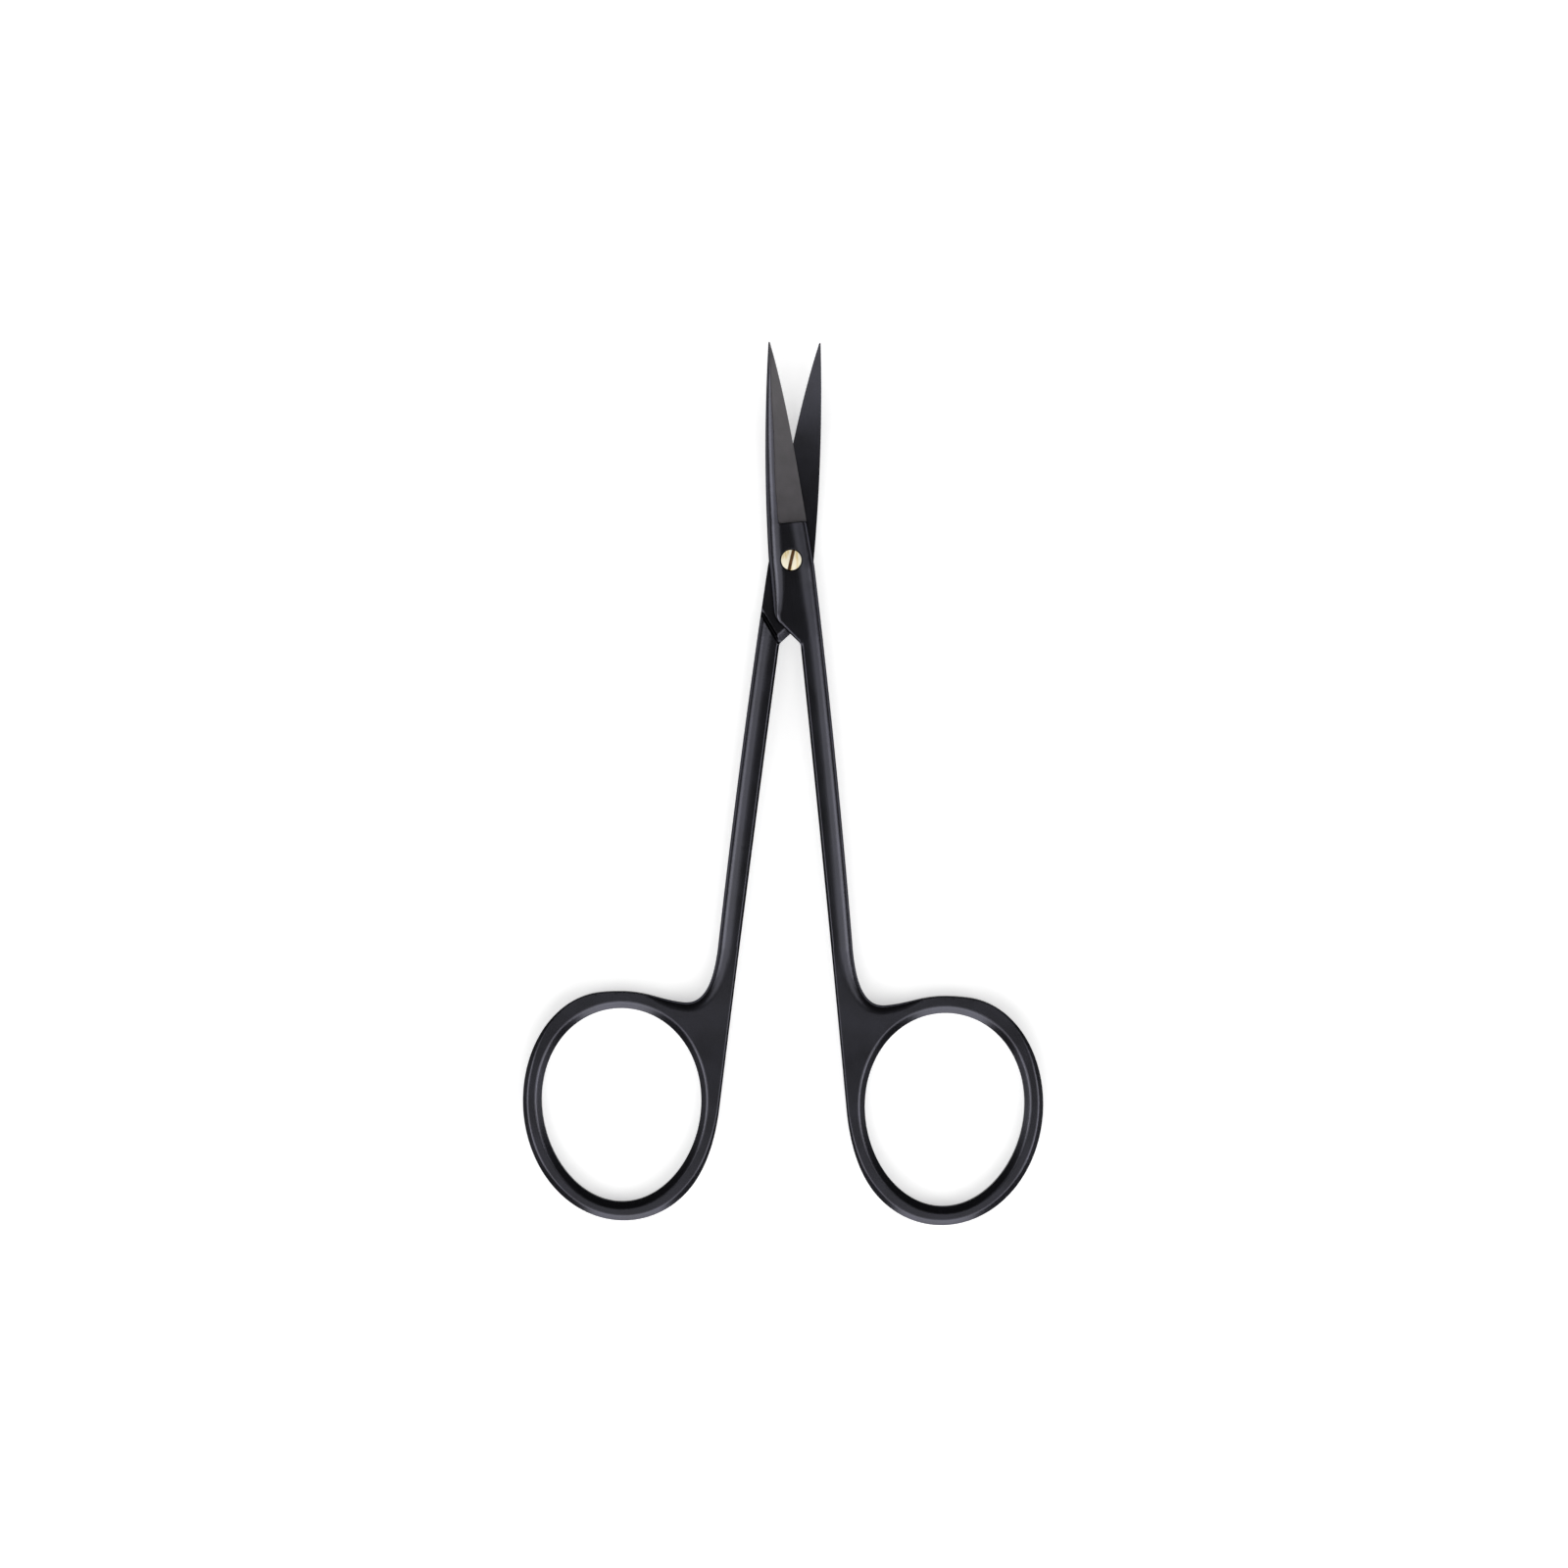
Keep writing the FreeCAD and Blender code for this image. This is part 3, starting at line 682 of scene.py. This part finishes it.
POINTS, TRIANGLES = make_plan()
FACES = Faces(POINTS)


# A half as a mesh piece: its two faces and the walls between their open sides. Its finishes are
# the coating and then that of the ground facet.
def half_mesh(name, body, placing, bend, seat, finishes):
    count = len(POINTS)
    outer = np.column_stack((POINTS, FACES.outer(bend, seat)))
    inner_height = np.minimum(FACES.inner(bend), outer[:, 2] - LEAST_THICKNESS)
    inner = np.column_stack((POINTS, inner_height))
    sides = np.concatenate([TRIANGLES[:, [a, b]] for a, b in ((0, 1), (1, 2), (2, 0))])
    known = set(map(tuple, sides.tolist()))
    open_sides = [(a, b) for a, b in known if (b, a) not in known]
    walls = [(b, a, a + count, b + count) for a, b in open_sides]
    faces = TRIANGLES.tolist() + (TRIANGLES[:, ::-1] + count).tolist() + walls
    mesh = bpy.data.meshes.new(name)
    mesh.from_pydata(np.concatenate((outer, inner)).tolist(), [], faces)
    mesh.transform(placing)
    for finish in finishes:
        mesh.materials.append(finish)
    on_facet = (FACES.facet[TRIANGLES] > 0).all(1)
    for index in np.nonzero(on_facet)[0].tolist():
        mesh.polygons[index].material_index = 1
    mesh.shade_smooth()
    mesh.set_sharp_from_angle(angle=math.radians(SMOOTH_ANGLE))
    piece = bpy.data.objects.new(name, mesh)
    bpy.context.scene.collection.objects.link(piece)
    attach(piece, body)
    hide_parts(name)


# Parts of the materials
def new_material(name):
    made = bpy.data.materials.new(name)
    made.use_nodes = True
    tree = made.node_tree
    return made, tree, tree.nodes["Principled BSDF"]


def noise(tree, scale, detail=3.0, stretch=(1, 1, 1)):
    place = tree.nodes.new("ShaderNodeTexCoord")
    mapping = tree.nodes.new("ShaderNodeMapping")
    mapping.inputs["Scale"].default_value = stretch
    tree.links.new(place.outputs["Object"], mapping.inputs["Vector"])
    texture = tree.nodes.new("ShaderNodeTexNoise")
    texture.inputs["Scale"].default_value = scale
    texture.inputs["Detail"].default_value = detail
    tree.links.new(mapping.outputs["Vector"], texture.inputs["Vector"])
    return texture.outputs["Fac"]


def ramp(tree, source, colours, start=0.3, end=0.7):
    node = tree.nodes.new("ShaderNodeValToRGB")
    first, last = node.color_ramp.elements
    first.position, last.position = start, end
    first.color, last.color = ((*colour, 1) for colour in colours)
    tree.links.new(source, node.inputs["Fac"])
    return node.outputs["Color"]


def spread(tree, source, low, high):
    node = tree.nodes.new("ShaderNodeMapRange")
    node.inputs["To Min"].default_value = low
    node.inputs["To Max"].default_value = high
    tree.links.new(source, node.inputs["Value"])
    return node.outputs["Result"]


# Share from 0 at one height of the object to 1 at another
def height_share(tree, low, high):
    place = tree.nodes.new("ShaderNodeTexCoord")
    split = tree.nodes.new("ShaderNodeSeparateXYZ")
    tree.links.new(place.outputs["Object"], split.inputs["Vector"])
    node = tree.nodes.new("ShaderNodeMapRange")
    node.inputs["From Min"].default_value = low
    node.inputs["From Max"].default_value = high
    tree.links.new(split.outputs["Z"], node.inputs["Value"])
    return node.outputs["Result"]


def mixed(tree, share, low, high):
    node = tree.nodes.new("ShaderNodeMix")
    node.data_type = "RGBA"
    tree.links.new(share, node.inputs["Factor"])
    tree.links.new(low, node.inputs["A"])
    tree.links.new(high, node.inputs["B"])
    return node.outputs["Result"]


# Fine relief of a surface, whose sharp edges are broken by a small radius
def finish_surface(tree, shader, relief, depth, edge_radius):
    rounded = tree.nodes.new("ShaderNodeBevel")
    rounded.samples = BEVEL_SAMPLES
    rounded.inputs["Radius"].default_value = edge_radius
    bump = tree.nodes.new("ShaderNodeBump")
    bump.inputs["Strength"].default_value = BUMP_STRENGTH
    bump.inputs["Distance"].default_value = depth
    tree.links.new(relief, bump.inputs["Height"])
    tree.links.new(rounded.outputs["Normal"], bump.inputs["Normal"])
    tree.links.new(bump.outputs["Normal"], shader.inputs["Normal"])


# Satin black coating: a dark metal whose grazing reflections are toned down
def coating():
    made, tree, shader = new_material("satin_black_coating")
    cloud = noise(tree, **COATING_CLOUD)
    grain = noise(tree, **COATING_GRAIN)
    tree.links.new(ramp(tree, cloud, COATING_COLOURS), shader.inputs["Base Color"])
    tree.links.new(spread(tree, cloud, *COATING_ROUGHNESS), shader.inputs["Roughness"])
    shader.inputs["Metallic"].default_value = 1.0
    shader.inputs["Specular Tint"].default_value = COATING_GRAZING_TINT
    finish_surface(tree, shader, grain, **COATING_RELIEF)
    return made


# Ground facet: rougher and a little warmer, with grinding lines across the blade
def ground_finish():
    made, tree, shader = new_material("ground_blade_facet")
    cloud = noise(tree, **FACET_CLOUD)
    lines = noise(tree, **FACET_LINES)
    tree.links.new(ramp(tree, cloud, FACET_COLOURS), shader.inputs["Base Color"])
    tree.links.new(spread(tree, lines, *FACET_ROUGHNESS), shader.inputs["Roughness"])
    shader.inputs["Specular IOR Level"].default_value = FACET_SPECULAR
    finish_surface(tree, shader, lines, **FACET_RELIEF)
    return made


# Gold plating with streaks along the blades, and dark brown painted shade in the slot below a
# height
def gold():
    made, tree, shader = new_material("gold_screw")
    cloud = noise(tree, **GOLD_CLOUD)
    grain = noise(tree, **GOLD_GRAIN)
    streaks = noise(tree, **GOLD_STREAKS)
    plated = ramp(tree, streaks, GOLD_COLOURS, **GOLD_STREAK_RANGE)
    # Painted shade: below a height the slot is coloured dark brown instead of gold
    shaded_slot = ramp(tree, cloud, SLOT_SHADE_COLOURS)
    unshaded = height_share(tree, SLOT_SHADE_BELOW, THICKNESS)
    tree.links.new(mixed(tree, unshaded, shaded_slot, plated), shader.inputs["Base Color"])
    tree.links.new(spread(tree, cloud, *GOLD_ROUGHNESS), shader.inputs["Roughness"])
    shader.inputs["Metallic"].default_value = GOLD_METALLIC
    finish_surface(tree, shader, grain, **GOLD_RELIEF)
    return made


# The glow shows to the camera and in reflections only, and the matt surface with it keeps the
# object's shadow
def white_floor():
    made = bpy.data.materials.new("white_floor")
    made.use_nodes = True
    tree = made.node_tree
    tree.nodes.clear()
    rays = tree.nodes.new("ShaderNodeLightPath")
    mirrored = tree.nodes.new("ShaderNodeMath")
    tree.links.new(rays.outputs["Is Glossy Ray"], mirrored.inputs[0])
    tree.links.new(rays.outputs["Is Transmission Ray"], mirrored.inputs[1])
    seen = tree.nodes.new("ShaderNodeMath")
    tree.links.new(rays.outputs["Is Camera Ray"], seen.inputs[0])
    tree.links.new(mirrored.outputs["Value"], seen.inputs[1])
    glow = tree.nodes.new("ShaderNodeEmission")
    glow.inputs["Color"].default_value = FLOOR_GLOW
    tree.links.new(seen.outputs["Value"], glow.inputs["Strength"])
    matt = tree.nodes.new("ShaderNodeBsdfDiffuse")
    matt.inputs["Color"].default_value = FLOOR_COLOUR
    both = tree.nodes.new("ShaderNodeAddShader")
    tree.links.new(glow.outputs["Emission"], both.inputs[0])
    tree.links.new(matt.outputs["BSDF"], both.inputs[1])
    out = tree.nodes.new("ShaderNodeOutputMaterial")
    tree.links.new(both.outputs["Shader"], out.inputs["Surface"])
    return made


def floor():
    far = FLOOR_HALF_WIDTH
    corners = [(-far, -far, 0), (far, -far, 0), (far, far, 0), (-far, far, 0)]
    mesh = bpy.data.meshes.new("floor")
    mesh.from_pydata(corners, [], [(0, 1, 2, 3)])
    mesh.materials.append(white_floor())
    made = bpy.data.objects.new("floor", mesh)
    bpy.context.scene.collection.objects.link(made)


def lamp(name, side, place, width, height, glow):
    data = bpy.data.lights.new(name, "AREA")
    data.shape = "RECTANGLE"
    data.size = width
    data.size_y = height
    data.energy = glow * math.pi * width * height
    made = bpy.data.objects.new(name, data)
    bpy.context.scene.collection.objects.link(made)
    aim = Vector((*CAMERA_CENTRE, 0))
    made.location = Vector((side * place[0], *place[1:]))
    made.rotation_euler = (aim - made.location).to_track_quat("-Z", "Y").to_euler()


def lamps():
    for side in (-1, 1):
        lamp("side_skirt", side, **SIDE_SKIRT)
        lamp("side_core", side, **SIDE_CORE)
    lamp("front_lamp", 1, **FRONT_LAMP)
    lamp("front_card", 1, **FRONT_CARD)


def surroundings():
    world = bpy.data.worlds.new("world")
    bpy.context.scene.world = world
    world.use_nodes = True
    background = world.node_tree.nodes["Background"]
    background.inputs["Color"].default_value = (1, 1, 1, 1)
    background.inputs["Strength"].default_value = WORLD_GLOW


def camera():
    data = bpy.data.cameras.new("camera")
    data.sensor_width = SENSOR_WIDTH
    data.lens = SENSOR_WIDTH * (CAMERA_HEIGHT - MIDDLE_LAYER) / FRAME_WIDTH
    made = bpy.data.objects.new("camera", data)
    bpy.context.scene.collection.objects.link(made)
    made.location = (*CAMERA_CENTRE, CAMERA_HEIGHT)
    made.rotation_euler = (0, 0, math.radians(CAMERA_ROLL))
    bpy.context.scene.camera = made


# The two halves, swung open by half the angle each, with the lower one turned over first
def halves():
    finishes = (coating(), ground_finish())
    open_left = Matrix.Rotation(math.radians(REST_OPENING / 2), 4, "Z")
    open_right = Matrix.Rotation(math.radians(-REST_OPENING / 2), 4, "Z")
    over = Matrix.Translation((0, 0, THICKNESS)) @ Matrix.Rotation(math.pi, 4, "Y")
    half_mesh("upper_half", "upper", open_left, 1, True, finishes)
    half_mesh("lower_half", "lower", open_right @ over, -1, False, finishes)


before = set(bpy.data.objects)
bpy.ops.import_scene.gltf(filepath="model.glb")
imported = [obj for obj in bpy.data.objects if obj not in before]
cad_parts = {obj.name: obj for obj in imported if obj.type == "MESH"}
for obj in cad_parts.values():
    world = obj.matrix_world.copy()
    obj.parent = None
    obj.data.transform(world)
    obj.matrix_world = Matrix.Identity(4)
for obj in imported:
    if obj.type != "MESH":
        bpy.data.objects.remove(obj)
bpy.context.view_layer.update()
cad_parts["pivot_screw"].data.materials[0] = gold()
halves()
floor()
lamps()
surroundings()
camera()
bpy.context.scene.view_settings.view_transform = "Standard"
